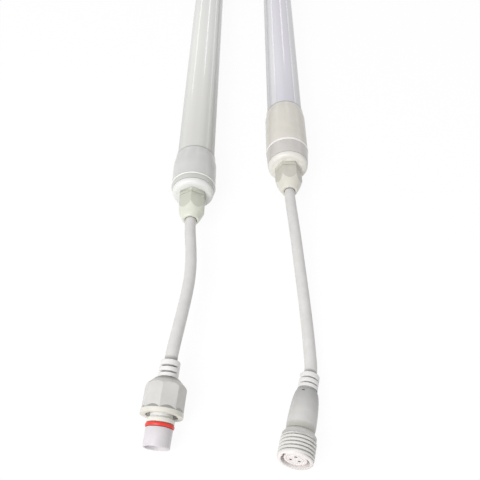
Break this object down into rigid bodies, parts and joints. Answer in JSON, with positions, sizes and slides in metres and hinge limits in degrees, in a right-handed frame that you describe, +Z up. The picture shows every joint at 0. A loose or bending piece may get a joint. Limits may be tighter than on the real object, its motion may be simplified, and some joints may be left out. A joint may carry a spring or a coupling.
{
  "type": "led light tube",
  "caption": "Sealed round LED light tubes laid side by side, with cable-gland end caps and short leads that end in a waterproof screw plug and its socket.",
  "frame": {"origin": "under the middle of the pair of tubes, on the surface that their gaskets rest on", "axes": "+Y along the tubes, away from the ends that carry the leads; +X from the plug tube to the socket tube; +Z up"},
  "size_m": [0.0981, 0.7964, 0.0301],
  "materials": {
    "milky_diffuser": "milky extruded polycarbonate, glossy and slightly translucent",
    "frosted_sleeve": "moulded off-white plastic, satin",
    "white_silicone": "moulded white silicone, satin",
    "white_nylon": "moulded white nylon, satin",
    "gland_nylon": "moulded ivory nylon, satin",
    "grey_rubber": "moulded grey rubber, matte",
    "aluminium": "extruded aluminium, plain",
    "white_circuit_board": "white solder mask with a faint lilac cast",
    "wire_sheath": "extruded PVC, satin",
    "cord_sheath": "extruded white PVC, satin",
    "moulded_boot": "overmoulded white PVC, satin",
    "coupling_nylon": "moulded off-white nylon, satin",
    "red_silicone": "moulded red silicone, satin",
    "nickel": "turned brass, nickel plated"
  },
  "bodies": {
    "plug_tube": {"plug_tube_diffuser": "milky_diffuser", "plug_tube_heat_sink": "aluminium", "plug_tube_led_board": "white_circuit_board", "plug_tube_driver_board": "white_circuit_board", "plug_tube_plug_end_sleeve": "frosted_sleeve", "plug_tube_plug_end_gasket": "white_silicone", "plug_tube_plug_end_collar": "frosted_sleeve", "plug_tube_plug_end_gland_body": "white_nylon", "plug_tube_plug_end_gland_seal": "grey_rubber", "plug_tube_socket_end_sleeve": "frosted_sleeve", "plug_tube_socket_end_gasket": "white_silicone", "plug_tube_socket_end_collar": "frosted_sleeve", "plug_tube_socket_end_gland_body": "white_nylon", "plug_tube_socket_end_gland_seal": "grey_rubber", "plug_lead_tail": "cord_sheath", "plug_lead_wire_1": "wire_sheath", "plug_lead_wire_2": "wire_sheath", "plug_lead_wire_3": "wire_sheath", "plug_lead_cord": "cord_sheath", "plug_boot": "moulded_boot", "plug_body": "white_nylon", "plug_pin_1": "nickel", "plug_pin_2": "nickel", "plug_pin_3": "nickel", "plug_o_ring": "red_silicone"},
    "coupling_nut": {"plug_coupling_nut": "coupling_nylon"},
    "socket_tube": {"socket_tube_diffuser": "milky_diffuser", "socket_tube_heat_sink": "aluminium", "socket_tube_led_board": "white_circuit_board", "socket_tube_driver_board": "white_circuit_board", "socket_tube_plug_end_sleeve": "frosted_sleeve", "socket_tube_plug_end_gasket": "white_silicone", "socket_tube_plug_end_collar": "frosted_sleeve", "socket_tube_plug_end_gland_body": "white_nylon", "socket_tube_plug_end_gland_seal": "grey_rubber", "socket_tube_socket_end_sleeve": "frosted_sleeve", "socket_tube_socket_end_gasket": "white_silicone", "socket_tube_socket_end_collar": "frosted_sleeve", "socket_tube_socket_end_gland_body": "white_nylon", "socket_tube_socket_end_gland_seal": "grey_rubber", "socket_lead_tail": "cord_sheath", "socket_lead_wire_1": "wire_sheath", "socket_lead_wire_2": "wire_sheath", "socket_lead_wire_3": "wire_sheath", "socket_lead_cord": "cord_sheath", "socket_boot": "moulded_boot", "socket_shell": "coupling_nylon", "socket_insert": "white_nylon", "socket_contact_1": "nickel", "socket_contact_2": "nickel", "socket_contact_3": "nickel"},
    "plug_tube_plug_end_gland_nut": {"plug_tube_plug_end_gland_nut": "gland_nylon"},
    "plug_tube_socket_end_gland_nut": {"plug_tube_socket_end_gland_nut": "gland_nylon"},
    "socket_tube_plug_end_gland_nut": {"socket_tube_plug_end_gland_nut": "gland_nylon"},
    "socket_tube_socket_end_gland_nut": {"socket_tube_socket_end_gland_nut": "gland_nylon"}
  },
  "joints": [
    {"name": "coupling_nut_spin", "type": "hinge", "parent": "plug_tube", "child": "coupling_nut", "pos_m": [-0.03673, -0.4225, 0.01532], "axis": [-0.0931, -0.9846, -0.1478], "continuous": true},
    {"name": "socket_tube_slide", "type": "slide", "parent": "plug_tube", "child": "socket_tube", "axis": [1, 0, 0], "range_m": [0, 0.15]},
    {"name": "plug_tube_plug_end_gland_nut_turn", "type": "hinge", "parent": "plug_tube", "child": "plug_tube_plug_end_gland_nut", "pos_m": [-0.0325, -0.3219, 0.01505], "axis": [0, -1, 0], "range_deg": [0, 720]},
    {"name": "plug_tube_socket_end_gland_nut_turn", "type": "hinge", "parent": "plug_tube", "child": "plug_tube_socket_end_gland_nut", "pos_m": [-0.0325, 0.2956, 0.01505], "axis": [0, 1, 0], "range_deg": [0, 720]},
    {"name": "socket_tube_plug_end_gland_nut_turn", "type": "hinge", "parent": "socket_tube", "child": "socket_tube_plug_end_gland_nut", "pos_m": [0.0325, 0.3219, 0.01505], "axis": [0, 1, 0], "range_deg": [0, 720]},
    {"name": "socket_tube_socket_end_gland_nut_turn", "type": "hinge", "parent": "socket_tube", "child": "socket_tube_socket_end_gland_nut", "pos_m": [0.0325, -0.2956, 0.01505], "axis": [0, -1, 0], "range_deg": [0, 720]}
  ]
}
